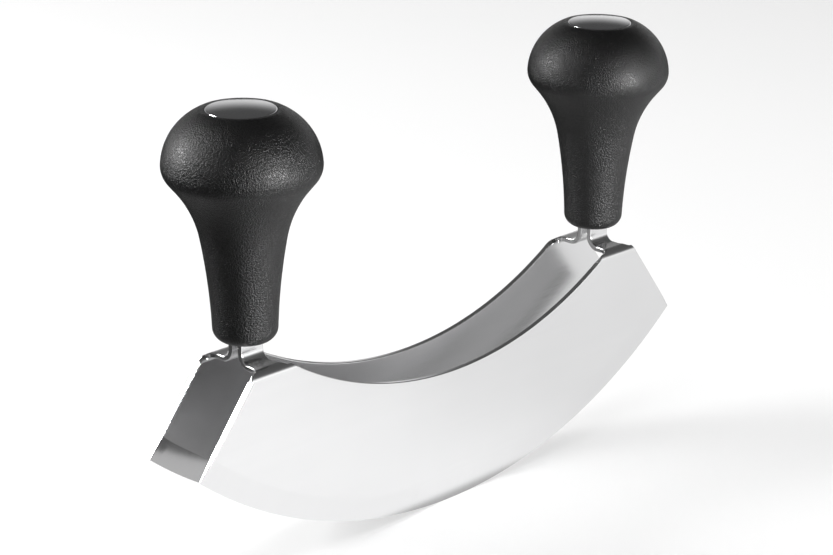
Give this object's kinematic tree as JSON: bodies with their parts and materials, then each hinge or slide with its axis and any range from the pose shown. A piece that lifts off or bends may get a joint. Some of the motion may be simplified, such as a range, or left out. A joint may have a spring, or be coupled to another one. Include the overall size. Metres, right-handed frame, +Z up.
{
  "type": "mezzaluna",
  "caption": "Double rocking herb chopper: parallel crescent blades with set-in shoulders and tangs held in round knob handles with domed steel caps.",
  "frame": {"origin": "on the ground below the middle of the tool, level with the lowest point of both cutting edges", "axes": "X along the blades from the left to the right handle, Y across the pair from the front to the rear blade, Z up"},
  "size_m": [0.18, 0.0398, 0.1219],
  "materials": {
    "blade_steel": "satin stainless steel with a ground band along the edge",
    "handle_plastic": "black plastic with a fine moulded grain",
    "fixing_steel": "plain turned steel",
    "cap_steel": "polished stainless steel"
  },
  "bodies": {
    "root": {"front_blade": "blade_steel", "rear_blade": "blade_steel", "left_handle": "handle_plastic", "right_handle": "handle_plastic", "left_stud": "fixing_steel", "right_stud": "fixing_steel", "left_lower_rivet": "fixing_steel", "left_upper_rivet": "fixing_steel", "right_lower_rivet": "fixing_steel", "right_upper_rivet": "fixing_steel", "left_washer": "fixing_steel", "right_washer": "fixing_steel", "left_nut": "fixing_steel", "right_nut": "fixing_steel", "left_cap": "cap_steel", "right_cap": "cap_steel"}
  },
  "joints": []
}
